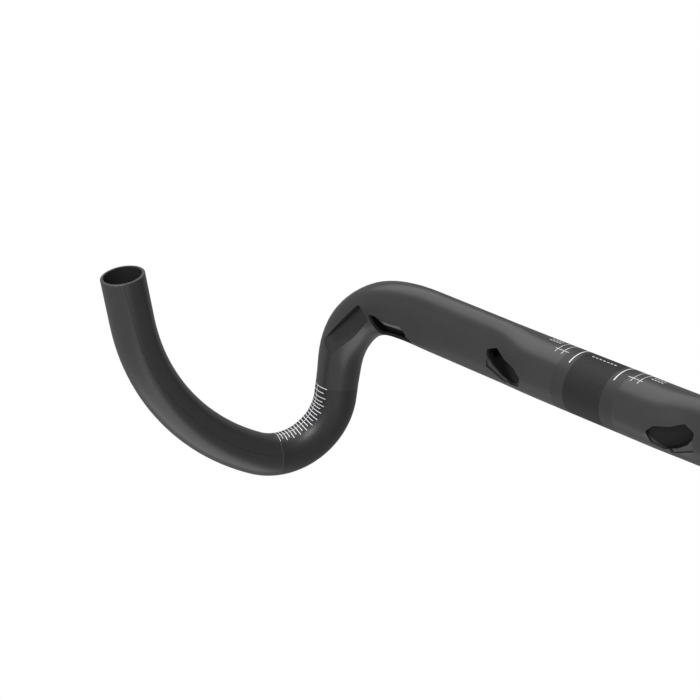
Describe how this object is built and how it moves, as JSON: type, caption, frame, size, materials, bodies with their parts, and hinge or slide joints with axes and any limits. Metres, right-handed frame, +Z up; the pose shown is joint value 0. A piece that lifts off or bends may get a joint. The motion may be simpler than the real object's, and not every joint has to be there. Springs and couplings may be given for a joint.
{
  "type": "drop handlebar",
  "caption": "Flared racing drop handlebar with a round stem clamp, oval tops, compact hooks, recessed cable ports and open bar ends.",
  "frame": {"origin": "centre of the stem clamp, on its axis", "axes": "+X to the rider's right along the clamp, +Y forward, +Z up, as the bar sits on a bicycle"},
  "size_m": [0.4542, 0.1416, 0.1562],
  "materials": {
    "carbon_satin": "satin black moulded carbon laminate, smooth",
    "grit_coat": "fine gritty black anti-slip coat",
    "insert_nylon": "black moulded nylon, satin",
    "liner_nylon": "black flexible nylon tube",
    "sleeve_laminate": "raw dark laminate, matte"
  },
  "bodies": {
    "root": {"centre_section": "carbon_satin", "clamp_grip_band": "grit_coat", "drop_right": "carbon_satin", "joint_sleeve_right": "sleeve_laminate", "lever_grip_band_right": "grit_coat", "groove_insert_right": "insert_nylon", "window_insert_right": "insert_nylon", "exit_insert_right": "insert_nylon", "brake_hose_liner_right": "liner_nylon", "shift_cable_liner_right": "liner_nylon", "drop_left": "carbon_satin", "joint_sleeve_left": "sleeve_laminate", "lever_grip_band_left": "grit_coat", "groove_insert_left": "insert_nylon", "window_insert_left": "insert_nylon", "exit_insert_left": "insert_nylon", "brake_hose_liner_left": "liner_nylon", "shift_cable_liner_left": "liner_nylon"}
  },
  "joints": []
}
